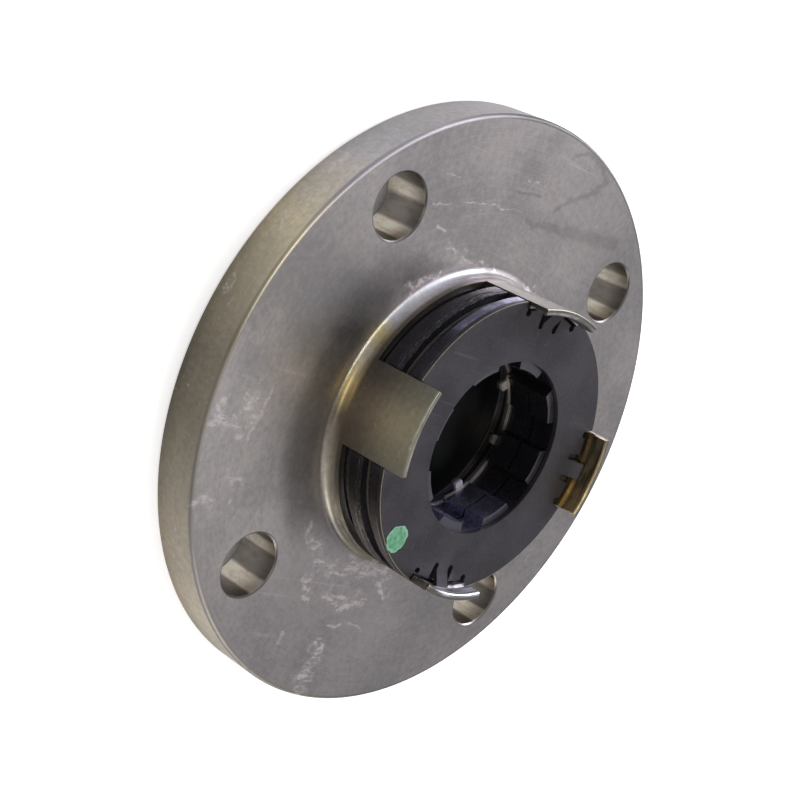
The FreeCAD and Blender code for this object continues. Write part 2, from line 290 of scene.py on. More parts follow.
flange_edge_centre = (FLANGE_RADIUS - FLANGE_ROUND, FLANGE_FACE - FLANGE_ROUND)
fillet_centre = (COLLAR_RADIUS + COLLAR_FILLET, FLANGE_FACE + COLLAR_FILLET)
hub_section = [
    (SHAFT_END_RADIUS, SHAFT_END_FLOOR),
    (SHAFT_END_RADIUS, POCKET_FLOOR),
    (COLLAR_BORE, POCKET_FLOOR),
    (COLLAR_BORE, GROOVE_BOTTOM),
    (GROOVE_RADIUS, GROOVE_BOTTOM),
    (GROOVE_RADIUS, GROOVE_TOP),
    (COLLAR_BORE, GROOVE_TOP),
    (COLLAR_BORE, FINGER_TOP - FINGER_EDGE),
    (COLLAR_BORE + FINGER_EDGE, FINGER_TOP),
    (COLLAR_RADIUS - FINGER_EDGE, FINGER_TOP),
    (COLLAR_RADIUS, FINGER_TOP - FINGER_EDGE),
]
hub_section += arc_points(fillet_centre, COLLAR_FILLET, 180, 270, 12)
hub_section += arc_points(flange_edge_centre, FLANGE_ROUND, 90, 0, 8)
hub_section += [(FLANGE_RADIUS, FLANGE_ROUND), (FLANGE_RADIUS - FLANGE_ROUND, 0.0)]
hub = turned("hub_steel", hub_section, closed=False)

window_half = QUARTER / 2 - FINGER_HALF_ANGLE
window_tool = wedge("window_tool", window_half, SHAFT_END_RADIUS, COLLAR_RADIUS + 3 * CUT_PAST,
                    WINDOW_FLOOR, FINGER_TOP + CUT_PAST)
combine(hub, copies_round(window_tool, 4, QUARTER / 2))
bolt_section = [
    (BOLT_HOLE + 2 * BOLT_CHAMFER, -BOLT_CHAMFER),
    (BOLT_HOLE, BOLT_CHAMFER),
    (BOLT_HOLE, FLANGE_FACE - BOLT_CHAMFER),
    (BOLT_HOLE + 2 * BOLT_CHAMFER, FLANGE_FACE + BOLT_CHAMFER),
]
bolt_tool = turned("bolt_tool", bolt_section, HOLE_STEPS, (BOLT_CIRCLE, 0), closed=False)
combine(hub, copies_round(bolt_tool, 4, QUARTER / 2))
break_edges(hub, HUB_EDGE, lambda p: p.z > WINDOW_FLOOR - 0.5 and COLLAR_BORE - 1 < reach(p)
            and reach(p) < COLLAR_RADIUS + 1 and not GROOVE_BOTTOM - 0.3 < p.z < GROOVE_TOP + 0.3)
finished(hub)


def plug(tree, node, inputs):
    """Sets or links a node's sockets. Gives its outputs."""
    for socket, value in inputs.items():
        if isinstance(value, bpy.types.NodeSocket):
            tree.links.new(value, node.inputs[socket])
        else:
            node.inputs[socket].default_value = value
    return node.outputs


def add(tree, kind, inputs, **settings):
    """The outputs of a new node, with its settings made and its sockets set or linked."""
    made = tree.nodes.new(kind)
    for name, value in settings.items():
        setattr(made, name, value)
    return plug(tree, made, inputs)


def calc(tree, operation, first, second=0.0, third=0.0, clamp=False):
    """The result of a math node."""
    return add(tree, "ShaderNodeMath", {0: first, 1: second, 2: third}, operation=operation,
               use_clamp=clamp)[0]


def chained(tree, operation, values):
    """Values put together one after another by the same operation."""
    total = values[0]
    for value in values[1:]:
        total = calc(tree, operation, total, value)
    return total


def times(tree, *values):
    """The product of several values."""
    return chained(tree, "MULTIPLY", values)


def strongest(tree, *values):
    """The greatest of several values."""
    return chained(tree, "MAXIMUM", values)


def weighed(tree, *parts):
    """The sum of several values, each with its own weight."""
    total = 0.0
    for value, weight in parts:
        total = calc(tree, "MULTIPLY_ADD", value, weight, total)
    return total


def vector_math(tree, operation, *values):
    """The outputs of a vector math node."""
    return add(tree, "ShaderNodeVectorMath", dict(enumerate(values)), operation=operation)


def between(tree, value, low, high, to_low=0.0, to_high=1.0):
    """A value carried smoothly from one range to another and held at its ends."""
    return add(tree, "ShaderNodeMapRange",
               {"Value": value, "From Min": low, "From Max": high, "To Min": to_low, "To Max": to_high},
               interpolation_type="SMOOTHSTEP")["Result"]


def below(tree, value, low, high):
    """1 up to the lower limit, falling to 0 at the upper one."""
    return between(tree, value, low, high, 1.0, 0.0)


def band(tree, value, low, high, soft):
    """1 between two limits, falling softly to 0 outside them."""
    return times(tree, between(tree, value, low - soft, low), below(tree, value, high, high + soft))


def noise(tree, vector, scale, detail=3.0, roughness=0.5, distortion=0.0):
    """The value of a noise texture, with its scale in bumps for each metre."""
    return add(tree, "ShaderNodeTexNoise", {"Vector": vector, "Scale": scale, "Detail": detail,
                                            "Roughness": roughness, "Distortion": distortion})["Fac"]


def stretched(tree, vector, scale, turn=(0.0, 0.0, 0.0)):
    """Coordinates turned, in degrees, and drawn out along their axes."""
    angles = [math.radians(a) for a in turn]
    return add(tree, "ShaderNodeMapping", {"Vector": vector, "Rotation": angles, "Scale": scale})["Vector"]


def drawn_round(tree, *parts):
    """Coordinates for a grain round the axis: up to three values, each with its own scale."""
    axes = {axis: times(tree, value, scale) for axis, (value, scale) in zip("XYZ", parts)}
    return add(tree, "ShaderNodeCombineXYZ", axes)[0]


def blended(tree, factor, first, second, kind="MIX"):
    """Two colours mixed by a factor. The mix node's colour sockets go by their numbers."""
    return add(tree, "ShaderNodeMix", {0: factor, 6: first, 7: second}, data_type="RGBA",
               blend_type=kind)[2]


def tinted(tree, colour, shade, amount=1.0):
    """A colour made lighter or darker by a grey value."""
    grey = add(tree, "ShaderNodeCombineColor", {"Red": shade, "Green": shade, "Blue": shade})[0]
    return blended(tree, amount, colour, grey, "MULTIPLY")


def toned(tree, position, stops):
    """A colour that runs through stops, each at a position from 0 to 1."""
    made = tree.nodes.new("ShaderNodeValToRGB")
    while len(made.color_ramp.elements) < len(stops):
        made.color_ramp.elements.new(1.0)
    for element, (at, colour) in zip(made.color_ramp.elements, stops):
        element.position = at
        element.color = colour + (1.0,)
    return plug(tree, made, {0: position})["Color"]


def upward(tree):
    """How much a surface faces up: the height part of its normal."""
    normal = tree.nodes.new("ShaderNodeNewGeometry").outputs["Normal"]
    return add(tree, "ShaderNodeSeparateXYZ", {0: normal})["Z"]


def bumped(tree, shader, strength, relief):
    """Gives a shader a fine relief, a tenth of a millimetre deep at most."""
    bump = add(tree, "ShaderNodeBump", {"Strength": strength, "Distance": 0.1 * MM, "Height": relief})
    plug(tree, shader, {"Normal": bump["Normal"]})


def new_group(name, inputs, outputs):
    """An empty shader group. Inputs give a kind and a value, outputs give a kind."""
    group = bpy.data.node_groups.new(name, "ShaderNodeTree")
    kinds = {"value": "NodeSocketFloat", "vector": "NodeSocketVector"}
    for label, (kind, value) in inputs.items():
        socket = group.interface.new_socket(label, in_out="INPUT", socket_type=kinds[kind])
        if value is not None:
            socket.default_value = value
    for label, kind in outputs.items():
        group.interface.new_socket(label, in_out="OUTPUT", socket_type=kinds[kind])
    start = group.nodes.new("NodeGroupInput")
    end = group.nodes.new("NodeGroupOutput")
    return group, start.outputs, end.inputs


def use(tree, group, inputs):
    """A group placed in a tree, with its inputs set. Gives its outputs."""
    return add(tree, "ShaderNodeGroup", inputs, node_tree=group)


def new_material(name):
    """An empty material: its tree, its shader and the object's own coordinates."""
    material = bpy.data.materials.new(name)
    material.use_nodes = True
    tree = material.node_tree
    tree.nodes.clear()
    shader = tree.nodes.new("ShaderNodeBsdfPrincipled")
    out = tree.nodes.new("ShaderNodeOutputMaterial")
    tree.links.new(shader.outputs["BSDF"], out.inputs["Surface"])
    place = tree.nodes.new("ShaderNodeTexCoord").outputs["Object"]
    return material, tree, shader, place


def dress(piece, material):
    """Gives the piece one material all over."""
    piece.data.materials.clear()
    piece.data.materials.append(material)


def polar_group():
    """Radius, angle in turns and height of a point about the shaft's axis."""
    group, given, result = new_group("about_the_axis", {"Place": ("vector", None)},
                                     {"Radius": "value", "Turn": "value", "Height": "value"})
    x, y, z = add(group, "ShaderNodeSeparateXYZ", {0: given["Place"]})
    square = calc(group, "MULTIPLY_ADD", x, x, times(group, y, y))
    group.links.new(calc(group, "SQRT", square), result["Radius"])
    group.links.new(calc(group, "DIVIDE", calc(group, "ARCTAN2", y, x), math.tau), result["Turn"])
    group.links.new(z, result["Height"])
    return group


def scratch_group():
    """Fine random scratches: thin streaks in three directions, each broken up by a cloud."""
    group, given, result = new_group("fine_scratches", {"Place": ("vector", None), "Density":
                                                        ("value", 0.5)}, {"Scratches": "value"})
    place = given["Place"]
    parts = []
    for turn, width in ((12.0, 900.0), (74.0, 1300.0), (-38.0, 1000.0)):
        drawn_out = stretched(group, place, (width, 22.0, width), (0, 0, turn))
        lines = noise(group, drawn_out, 1.0, 2.0, 0.6, 0.25)
        broken = noise(group, stretched(group, place, (70.0, 70.0, 70.0), (turn, 0, 0)), 1.0, 2.0)
        patch = between(group, calc(group, "MULTIPLY_ADD", given["Density"], 0.2, broken), 0.55, 0.68)
        parts.append(times(group, between(group, lines, 0.66, 0.74), patch))
    group.links.new(strongest(group, *parts), result["Scratches"])
    return group


def rub_group():
    """One rub stroke between two points: full along its line and gone at its width."""
    group, given, result = new_group(
        "rub_stroke", {"Place": ("vector", None), "From": ("vector", None), "To": ("vector", None),
                       "Width": ("value", 0.002)}, {"Stroke": "value"})
    arm = vector_math(group, "SUBTRACT", given["Place"], given["From"])["Vector"]
    line = vector_math(group, "SUBTRACT", given["To"], given["From"])["Vector"]
    along = calc(group, "DIVIDE", vector_math(group, "DOT_PRODUCT", arm, line)["Value"],
                 vector_math(group, "DOT_PRODUCT", line, line)["Value"], clamp=True)
    foot = add(group, "ShaderNodeVectorMath", {0: line, "Scale": along}, operation="SCALE")["Vector"]
    distance = calc(group, "DIVIDE", vector_math(group, "DISTANCE", arm, foot)["Value"], given["Width"])
    group.links.new(below(group, distance, 0.25, 1.0), result["Stroke"])
    return group


about_axis = polar_group()
fine_scratches = scratch_group()
rub_stroke = rub_group()


def strokes(tree, place, rows):
    """The strongest of many rub strokes at a point. Flat rows lie on the flange's face."""
    parts = []
    for start, end, width in rows:
        ends = [Vector((tuple(point) + (FLANGE_FACE,))[:3]) * MM for point in (start, end)]
        parts.append(use(tree, rub_stroke, {"Place": place, "From": ends[0], "To": ends[1],
                                            "Width": width * MM})["Stroke"])
    return strongest(tree, *parts)


def steel_material():
    """Satin steel: turning lines, clouds of tone, an oily film, fine scratches, scuffs and smears, with
    painted reflections, highlights and shade by the side a point looks to, and painted shade in the shaft's
    pocket.
    """
    material, tree, shader, place = new_material("satin_steel")
    radius, turn, height = use(tree, about_axis, {"Place": place})
    position = calc(tree, "ADD", turn, 0.5)
    cloud = noise(tree, place, 38.0, 4.0, 0.55)
    grain = noise(tree, place, 900.0, 4.0, 0.65)
    fine = noise(tree, place, 3200.0, 2.0, 0.6)
    turning = drawn_round(tree, (radius, 5200.0), (height, 5200.0), (turn, 26.0))
    lines = noise(tree, turning, 1.0, 2.0, 0.6)
    scratches = use(tree, fine_scratches, {"Place": place, "Density": 0.3})["Scratches"]

    # Painted reflections and shade by the side that a point looks to, on the face, inside the fingers and on
    # the rim, and a painted gold glint inside one finger. The limits of radius and height are in metres.
    inside = times(tree, below(tree, radius, 0.0296, 0.0299), between(tree, height, 0.0139, 0.0141))
    rim = between(tree, radius, 0.0615, 0.0622)
    face = times(tree, below(tree, height, 0.01045, 0.01055), between(tree, radius, 0.0322, 0.0332))
    # Painted light and shade on the face, by position round the axis
    painted_face_tones = [(at, tuple(shade * part for part in tone)) for at, shade, tone in FACE_PAINTED_LIGHT]
    colour = blended(tree, face, STEEL, toned(tree, position, painted_face_tones))
    # Painted reflections inside the collar and fingers
    colour = blended(tree, inside, colour, toned(tree, position, INSIDE_PAINTED_REFLECTIONS))
    # Painted reflections and shade on the rim
    colour = blended(tree, rim, colour, toned(tree, position, RIM_PAINTED_REFLECTIONS))
    streaks = noise(tree, drawn_round(tree, (turn, 22.0), (height, 900.0)), 1.0, 3.0, 0.6)
    colour = tinted(tree, colour, between(tree, streaks, 0.35, 0.65, 0.5, 1.3), inside)
    # A painted gold glint on the inside of one finger, broken up by its streaks
    painted_glint = times(tree, band(tree, position, 0.709, 0.728, 0.012),
                 between(tree, streaks, 0.42, 0.60, 0.35, 1.0), inside)
    colour = blended(tree, painted_glint, colour, GOLD_PAINTED_GLINT)

    # The oil film on collar and fingers, painted shade on the far finger, painted light on one finger's
    # upper part, and painted highlights and glints on the fillet at the collar's foot
    oiled = times(tree, between(tree, height, 0.01052, 0.0115),
                  calc(tree, "SUBTRACT", between(tree, cloud, 0.25, 0.6, 0.8, 1.0), inside, clamp=True))
    colour = blended(tree, oiled, colour, STEEL_OILED, "MULTIPLY")
    from_bottom = calc(tree, "ABSOLUTE", turn)
    # Painted shade on the collar and finger on the far side
    painted_far_shade = times(tree, oiled, between(tree, from_bottom, 0.42, 0.46))
    colour = blended(tree, painted_far_shade, colour, FAR_FINGER_PAINTED_SHADE, "MULTIPLY")
    # Painted light on the upper part of one finger
    painted_lit_end = times(tree, band(tree, position, 0.15, 0.35, 0.03), between(tree, height, 0.0155, 0.025))
    colour = blended(tree, painted_lit_end, colour, FINGER_PAINTED_LIGHT, "MULTIPLY")
    # Painted highlights and glints on the fillet
    low_fillet = times(tree, between(tree, height, 0.01052, 0.0107), below(tree, height, 0.0122, 0.0135),
                       below(tree, radius, 0.035, 0.036))
    colour = blended(tree, low_fillet, colour, toned(tree, position, FILLET_PAINTED_HIGHLIGHTS))

    # Light and dark from the grain, the turning lines and the clouds, with a painted dark reflection beside
    # the collar, painted shade across the face's top side, and painted reflections on the flange's rounded
    # edge
    # A painted dark reflection in a band of the face beside the collar, on one side
    painted_collar_halo = times(tree, band(tree, radius, 0.0355, 0.0385, 0.005),
                        band(tree, position, 0.21, 0.35, 0.06), between(tree, height, 0.008, 0.009))
    tone = weighed(tree, (grain, 0.34), (lines, 0.16), (between(tree, cloud, 0.3, 0.7), 0.10))
    # Painted shade across the top side of the face: darker outward, lighter inward
    painted_top_gradient = times(tree, face, between(tree, from_bottom, 0.36, 0.42),
                 between(tree, radius, 0.039, 0.052, -0.13, 0.14))
    shade = times(tree, between(tree, tone, 0.20, 0.40, 0.85, 1.14),
                  calc(tree, "MULTIPLY_ADD", painted_collar_halo, -0.45, 1.0), calc(tree, "SUBTRACT", 1.0, painted_top_gradient))
    hue = between(tree, noise(tree, place, 75.0, 3.0, 0.6), 0.35, 0.65)
    colour = blended(tree, 1.0, colour, blended(tree, hue, HUE_COOL, HUE_WARM), "MULTIPLY")
    colour = tinted(tree, colour, shade)
    # Painted reflections on the flange's rounded front edge
    edge = times(tree, between(tree, radius, 0.0615, 0.0618), between(tree, height, 0.0096, 0.0099))
    colour = blended(tree, edge, colour, toned(tree, position, EDGE_PAINTED_REFLECTIONS))

    # Walls and mouths of the bolt holes, each quarter moved so that its hole lies on the axis. The walls
    # carry painted reflections: light bands at set sides round each hole, on a tone that darkens toward the
    # flange face.
    quadrant = vector_math(tree, "SIGN", place)["Vector"]
    hole_place = BOLT_CIRCLE * MM / math.sqrt(2.0)
    local = vector_math(tree, "MULTIPLY_ADD", quadrant, (-hole_place, -hole_place, 0.0), place)["Vector"]
    hole = use(tree, about_axis, {"Place": local})
    wall = below(tree, hole["Radius"], 0.00655, 0.00660)
    mouth = calc(tree, "SUBTRACT", below(tree, hole["Radius"], 0.0069, 0.0070), wall, clamp=True)
    drawn = noise(tree, stretched(tree, place, (420.0, 420.0, 45.0)), 1.0, 4.0, 0.6)
    bearing = calc(tree, "MULTIPLY_ADD", drawn, 0.04, calc(tree, "ADD", hole["Turn"], 0.48))
    # Painted reflections: light bands at set sides round each hole
    painted_wall_bands = strongest(tree, band(tree, bearing, 0.60, 0.665, 0.025),
                         times(tree, band(tree, bearing, 0.815, 0.86, 0.025), 0.8))
    stained = noise(tree, stretched(tree, place, (500.0, 500.0, 220.0)), 1.0, 4.0, 0.7)
    depth = between(tree, calc(tree, "MULTIPLY_ADD", stained, 0.003, height), 0.0075, 0.0112, 1.0, 0.68)
    wall_tone = tinted(tree, blended(tree, painted_wall_bands, WALL_DARK, WALL_PAINTED_GLEAM),
                       times(tree, depth, between(tree, stained, 0.3, 0.6, 0.75, 1.1)))
    colour = blended(tree, wall, colour, wall_tone)
    colour = blended(tree, times(tree, mouth, 0.8), colour, STEEL_SMEAR)

    # Rub marks, fine lines and smears, shifted a little to and fro so that they look torn
    wander = add(tree, "ShaderNodeTexNoise", {"Vector": place, "Scale": 260.0, "Detail": 4.0})["Color"]
    shift = vector_math(tree, "SUBTRACT", wander, (0.5, 0.5, 0.5))["Vector"]
    spot, near_spot = [vector_math(tree, "MULTIPLY_ADD", shift, (wide, wide, 0.5 * wide), place)["Vector"]
                       for wide in (0.010, 0.003)]
    torn = noise(tree, stretched(tree, place, (1300.0, 420.0, 900.0)), 1.0, 5.0, 0.7)
    scuffed = times(tree, strokes(tree, spot, SCUFFS), between(tree, torn, 0.46, 0.57, 0.14, 1.0),
                    SCUFF_STRENGTH)
    lined = times(tree, strokes(tree, near_spot, FINE_LINES), between(tree, torn, 0.38, 0.55),
                  LINE_STRENGTH)
    specks = between(tree, noise(tree, place, 520.0, 5.0, 0.75), 0.62, 0.70)
    worn_patch = between(tree, noise(tree, place, 60.0, 3.0, 0.6), 0.50, 0.66)
    light_wear = strongest(tree, times(tree, scratches, 0.18), times(tree, specks, worn_patch, 0.5),
                           scuffed, lined)
    light_wear = times(tree, light_wear, calc(tree, "SUBTRACT", 1.0, wall))
    colour = blended(tree, light_wear, colour, STEEL_WORN)
    smeared = times(tree, strokes(tree, near_spot, DARK_SMEARS), SMEAR_STRENGTH)
    colour = blended(tree, smeared, colour, STEEL_SMEAR)
    # Painted shade: the shaft's pocket deep in the bore is coloured nearly black
    painted_pocket_dark = times(tree, below(tree, radius, 0.0203, 0.0206), band(tree, height, 0.0042, 0.0074, 0.0002))
    colour = blended(tree, painted_pocket_dark, colour, POCKET_PAINTED_SHADE)

    rough = calc(tree, "MULTIPLY_ADD", between(tree, cloud, 0.35, 0.65), 0.08,
                 calc(tree, "MULTIPLY_ADD", strongest(tree, light_wear, edge), 0.14, 0.33))
    plug(tree, shader, {"Base Color": colour, "Roughness": rough, "Metallic": 1.0})
    bumped(tree, shader, 0.14, weighed(tree, (fine, 0.4), (scratches, -0.5), (lines, 0.5)))
    return material


dress(hub, steel_material())
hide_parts("hub")
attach(hub, "housing")

# Springs and thrust washer
# A hardened washer lies on the pocket's floor under two disc springs, pressed dish to dish from
# spring steel. The front one has eight small tabs that stand in the splines and turn with the shaft.
SPRING_BORE = 17.5
SPRING_RIM = 28.4
SPRING_REAR = 10.9
SPRING_CONE = 0.9
SPRING_THICK = 1.4
SPRING_TURN = -2.3
TAB_TIP = 14.8
TAB_TIP_HALF = 1.0
TAB_ROOT_HALF = 2.2
TAB_ROOT = 18.0
TAB_CORNER = 0.55
SPRING_EDGE = 0.25
SPRING_STEEL = (0.80, 0.765, 0.72, 1.0)
GROUND_STEEL = (0.42, 0.41, 0.42, 1.0)
# A painted cool sheen on one side of the springs
COOL_LIGHT = (1.15, 1.16, 1.5, 1.0)


def spring_tab(rear, front):
    """One tapered tab on the X axis, its two tip corners rounded."""
    tab = block("tab", (TAB_TIP, -TAB_TIP_HALF, rear), (SPRING_BORE, TAB_TIP_HALF, front))
    edit(tab)
    mesh = bmesh.from_edit_mesh(tab.data)
    for face in mesh.faces:
        face.select_set(face.normal.x > 0.9)
    bmesh.update_edit_mesh(tab.data)
    bpy.ops.transform.resize(value=(1, TAB_ROOT_HALF / TAB_TIP_HALF, 1), center_override=(0, 0, 0))
    bpy.ops.mesh.extrude_region_move(
        TRANSFORM_OT_translate={"value": ((TAB_ROOT - SPRING_BORE) * MM, 0, 0)})
    bpy.ops.object.mode_set(mode="OBJECT")
    break_edges(tab, TAB_CORNER, lambda p: p.x < TAB_TIP + 0.01 and abs(p.z - (rear + front) / 2) < 0.1,
                segments=4)
    return tab


spring_face = SPRING_REAR + SPRING_CONE
spring = turned("tabbed_spring", [
    (SPRING_BORE, spring_face), (SPRING_RIM, SPRING_REAR), (SPRING_RIM, SPRING_REAR + SPRING_THICK),
    (SPRING_BORE, spring_face + SPRING_THICK)])
for k in range(8):
    tab = spring_tab(spring_face, spring_face + SPRING_THICK)
    tab.rotation_euler.z = math.radians(SPRING_TURN + 45.0 * k)
    settle(tab)
    combine(spring, tab, "UNION")
break_edges(spring, SPRING_EDGE, lambda p: reach(p) < TAB_ROOT)
finished(spring)


def bright_material(name, colour, roughness, metal=1.0, painted_wall_shade=1.0):
    """Hardened steel with a fine circular grain, clean on its faces, with painted shade on its walls, on its
    face beyond the bore's edge and on one sector, and a painted cool sheen on one side.
    """
    material, tree, shader, place = new_material(name)
    radius, turn, height = use(tree, about_axis, {"Place": place})
    around = drawn_round(tree, (radius, 7000.0), (height, 7000.0), (turn, 20.0))
    lines = noise(tree, around, 1.0, 2.0, 0.6)
    cloud = noise(tree, place, 90.0, 3.0)
    shade = between(tree, weighed(tree, (cloud, 0.5), (lines, 0.5)), 0.3, 0.7, 0.82, 1.15)
    # Painted shade on the walls and on the face beyond the bore's edge, and on one sector
    wall = strongest(tree, between(tree, upward(tree), 0.15, 0.5, painted_wall_shade, 1.0),
                     between(tree, height, 0.0125, 0.0127, painted_wall_shade, 1.0))
    painted_shade_past_lip = between(tree, radius, 0.0176, 0.0178, 1.0, painted_wall_shade)
    painted_dark_sector = calc(tree, "MULTIPLY_ADD", band(tree, turn, 0.21, 0.26, 0.03), -0.7, 1.0)
    # A painted cool sheen on one side
    tint = blended(tree, band(tree, turn, -0.10, 0.13, 0.02), colour, COOL_LIGHT, "MULTIPLY")
    plug(tree, shader, {"Base Color": tinted(tree, tint, times(tree, shade, wall, painted_shade_past_lip, painted_dark_sector)),
                        "Metallic": metal,
                        "Roughness": between(tree, cloud, 0.3, 0.7, roughness - 0.04, roughness + 0.06)})
    bumped(tree, shader, 0.1, lines)
    return material


spring_steel = bright_material("spring_steel", SPRING_STEEL, 0.34, 0.35, 0.22)
dress(spring, spring_steel)
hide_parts("front_disc_spring")
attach(spring, "tabbed_spring")
dress(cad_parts["rear_disc_spring"], spring_steel)
dress(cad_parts["thrust_washer"], bright_material("ground_steel", GROUND_STEEL, 0.36))

# Friction discs and linings
# Two steel discs with eight broad teeth take the splined shaft. Each runs out in a thin web between
# bonded friction rings. The teeth are broached, blackened and wet with oil.
TOOTH_TIP = 16.3
TOOTH_ROOT = 18.2
BOSS_RADIUS = 20.5
DISC_RADIUS = 28.8
KEY_SPACE = 6.2
DISC_TURN = -6.3
TOOTH_EDGE = 0.14
OILY_STEEL = (0.060, 0.055, 0.066, 1.0)
# Painted light on the discs' forward faces and web edge
OILY_PAINTED_LIGHT = (0.15, 0.145, 0.155, 1.0)
# A painted cool reflection on one side of the discs
OILY_PAINTED_COOL = (0.30, 0.30, 0.45, 1.0)
# A painted bright ring at the rear disc's tooth ends
RING_PAINTED_LIGHT = (0.80, 0.76, 0.70, 1.0)
LINING = (0.12, 0.108, 0.098, 1.0)


def toothed_disc(name, boss, web):
    """A disc with a thick toothed boss, from its boss's and its web's lower and upper height."""
    disc = turned(name, [
        (TOOTH_TIP, boss[0]), (BOSS_RADIUS, boss[0]), (BOSS_RADIUS, web[0]), (DISC_RADIUS, web[0]),
        (DISC_RADIUS, web[1]), (BOSS_RADIUS, web[1]), (BOSS_RADIUS, boss[1]), (TOOTH_TIP, boss[1])])
    for k in range(4):
        low, high = boss[0] - CUT_PAST, boss[1] + CUT_PAST
        space = block("key_space", (-BOSS_RADIUS, -KEY_SPACE / 2, low), (BOSS_RADIUS, KEY_SPACE / 2, high))
        space.rotation_euler.z = math.radians(DISC_TURN + 22.5 + 45.0 * k)
        settle(space)
        root = turned("root", [(TOOTH_ROOT, low - CUT_PAST), (TOOTH_ROOT, high + CUT_PAST)], closed=False)
        combine(disc, combine(space, root, "INTERSECT"))
    break_edges(disc, TOOTH_EDGE, lambda p: reach(p) < TOOTH_ROOT + 0.1)
    return finished(disc)


def oily_material():
    """Blackened steel under an oily film: dark and glossy, with painted light on the teeth's forward faces
    and the web's edge, a painted cool reflection on one side and a painted bright ring at the rear tooth
    ends.
    """
    material, tree, shader, place = new_material("dark_steel")
    radius, turn, height = use(tree, about_axis, {"Place": place})
    cloud = noise(tree, place, 150.0, 4.0, 0.6)
    fine = noise(tree, place, 1800.0, 3.0, 0.6)
    # Painted light on the teeth's forward faces and on the web's edge
    front_face = times(tree, between(tree, upward(tree), 0.6, 0.95),
                       between(tree, height, 0.0190, 0.0194, 0.25, 1.0))
    web_edge = between(tree, radius, 0.0284, 0.0286, 0.0, 0.6)
    painted_lit_faces = strongest(tree, web_edge, times(tree, front_face, between(tree, cloud, 0.3, 0.55, 0.55, 1.0)))
    # A painted cool reflection on the teeth on one side
    cool = times(tree, band(tree, turn, -0.12, 0.12, 0.05), between(tree, cloud, 0.35, 0.6, 0.4, 1.0))
    colour = tinted(tree, blended(tree, cool, OILY_STEEL, OILY_PAINTED_COOL),
                    between(tree, fine, 0.3, 0.7, 0.8, 1.2))
    colour = blended(tree, painted_lit_faces, colour, OILY_PAINTED_LIGHT)
    # A painted bright ring at the rear tooth ends, on some sides
    painted_bright_ring = times(tree, below(tree, height, 0.0139, 0.0142), below(tree, radius, 0.0168, 0.0170),
                   strongest(tree, between(tree, turn, 0.26, 0.32), below(tree, turn, 0.13, 0.21)))
    plug(tree, shader, {"Base Color": blended(tree, painted_bright_ring, colour, RING_PAINTED_LIGHT),
                        "Metallic": calc(tree, "MULTIPLY_ADD", painted_bright_ring, -0.45, 0.75),
                        "Roughness": between(tree, cloud, 0.35, 0.65, 0.2, 0.3)})
    broach = noise(tree, stretched(tree, place, (1400.0, 1400.0, 60.0)), 1.0, 2.0)
    bumped(tree, shader, 0.06, calc(tree, "ADD", broach, height))
    return material


def lining_material():
    """Pressed friction material: dull brown-grey with fine mineral and metal grains."""
    material, tree, shader, place = new_material("friction_lining")
    grains = noise(tree, place, 2600.0, 4.0, 0.7)
    cloud = noise(tree, place, 200.0, 3.0)
    shade = between(tree, weighed(tree, (cloud, 0.3), (grains, 0.7)), 0.35, 0.65, 0.6, 1.5)
    plug(tree, shader, {"Base Color": tinted(tree, LINING, shade), "Roughness": 0.8})
    bumped(tree, shader, 0.4, grains)
    return material


oily = oily_material()
for name, boss, web, body in (("rear_friction_disc", (13.25, 18.85), (14.10, 15.85), "rear_disc"),
                              ("front_friction_disc", (19.40, 24.40), (20.55, 21.65), "front_disc")):
    disc = toothed_disc(name.replace("friction", "toothed"), boss, web)
    dress(disc, oily)
    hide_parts(name)
    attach(disc, body)
lining_finish = lining_material()
for name in ("rear_disc_lining", "front_disc_rear_lining", "front_disc_front_lining"):
    dress(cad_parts[name], lining_finish)

# Keyed plates
# A thick rear plate, three thin ones and a smooth pressure ring slide between the fingers. They are
# punched from sheet and blackened. The thin ones keep the ragged, bright edge that the punch left.
PLATE_BORE = 20.9
PLATE_RADIUS = 30.35
NOTCH_RADIUS = 28.85
NOTCH_HALF = 16.89
PLATE_CHAMFER = 0.2
RING_CHAMFER = 0.3
THIN_CHAMFER = 0.12
THIN = 0.5
THIN_START = 18.4
NICK = 0.22
BLACK = (0.066, 0.061, 0.067, 1.0)
BLACK_GLOSSY = (0.055, 0.052, 0.064, 1.0)
BLACK_DUST = (0.17, 0.165, 0.16, 1.0)
BARE_EDGE = (0.42, 0.39, 0.38, 1.0)
# A painted sheen on one side of the pressure ring
RING_SHEEN = (0.55, 0.56, 0.84, 1.0)
# Painted shade on one side of the plates' outer edges
EDGE_PAINTED_SHADE = (0.030, 0.026, 0.022, 1.0)
KHAKI_LINE = (0.36, 0.33, 0.25, 1.0)


def edge_notches(half_angle, radius, low, high):
    """Cutter for the four gaps in a plate's edge where the fingers stand."""
    low, high = low - CUT_PAST, high + CUT_PAST
    gap = wedge("gap", half_angle, BOSS_RADIUS, PLATE_RADIUS + 2 * CUT_PAST, low, high)
    core = turned("core", [(radius, low - CUT_PAST), (radius, high + CUT_PAST)], closed=False)
    return copies_round(combine(gap, core), 4)


def keyed_plate(name, low, high, chamfer):
    """A ring that fills the windows between the fingers, its outer edges chamfered."""
    plate = turned(name, [
        (PLATE_BORE, low), (PLATE_RADIUS - chamfer, low), (PLATE_RADIUS, low + chamfer),
        (PLATE_RADIUS, high - chamfer), (PLATE_RADIUS - chamfer, high), (PLATE_BORE, high)])
    return combine(plate, edge_notches(NOTCH_HALF, NOTCH_RADIUS, low, high))


def ragged(plate, seed):
    """Pulls the outer edge in by an uneven amount, as a worn punch leaves it."""
    for vertex in plate.data.vertices:
        out = reach(vertex.co) / MM
        if out > PLATE_RADIUS - 0.1:
            angle = math.atan2(vertex.co.y, vertex.co.x)
            wave = abs(math.sin(31 * angle + seed) * math.sin(17.3 * angle + 2.1 * seed)
                       * math.sin(7.7 * angle + 0.7 * seed))
            factor = 1 - NICK * wave / PLATE_RADIUS
            vertex.co.x *= factor
            vertex.co.y *= factor
    return plate


